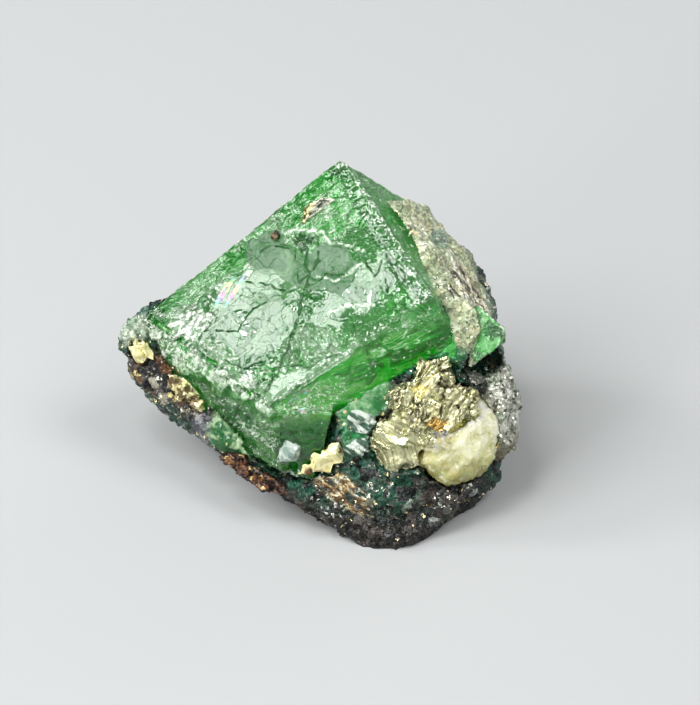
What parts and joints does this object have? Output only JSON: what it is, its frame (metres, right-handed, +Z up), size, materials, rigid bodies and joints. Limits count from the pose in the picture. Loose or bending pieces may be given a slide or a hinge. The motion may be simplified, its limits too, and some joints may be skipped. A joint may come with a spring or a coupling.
{
  "type": "tsavorite garnet in matrix",
  "caption": "Green tsavorite garnet crystal with flat faces in dark graphite rock, with pyrite and calcite set round it.",
  "frame": {"origin": "on the surface that the specimen rests on, under the middle of its box", "axes": "+Z up; the large flat face of the crystal looks towards -Y, -X and +Z; +X runs from the crystal's left corner to the rock's right side"},
  "size_m": [0.0183, 0.0134, 0.0143],
  "materials": {
    "garnet": "gloss",
    "rock": "satin",
    "pyrite": "polished",
    "rusty_pyrite": "satin",
    "calcite": "satin",
    "graphite": "satin",
    "quartz": "gloss"
  },
  "bodies": {
    "root": {"tsavorite_crystal": "garnet", "small_tsavorite_crystal": "garnet", "host_rock": "rock", "pyrite_mass": "pyrite", "pyrite_cubes": "pyrite", "pyrite_tip_grain": "pyrite", "pyrite_rim_grains": "pyrite", "pyrite_sliver": "pyrite", "pyrite_speck": "pyrite", "rusty_pyrite_seam": "rusty_pyrite", "calcite_nodule": "calcite", "graphite_lump": "graphite", "quartz_grain": "quartz"}
  },
  "joints": []
}
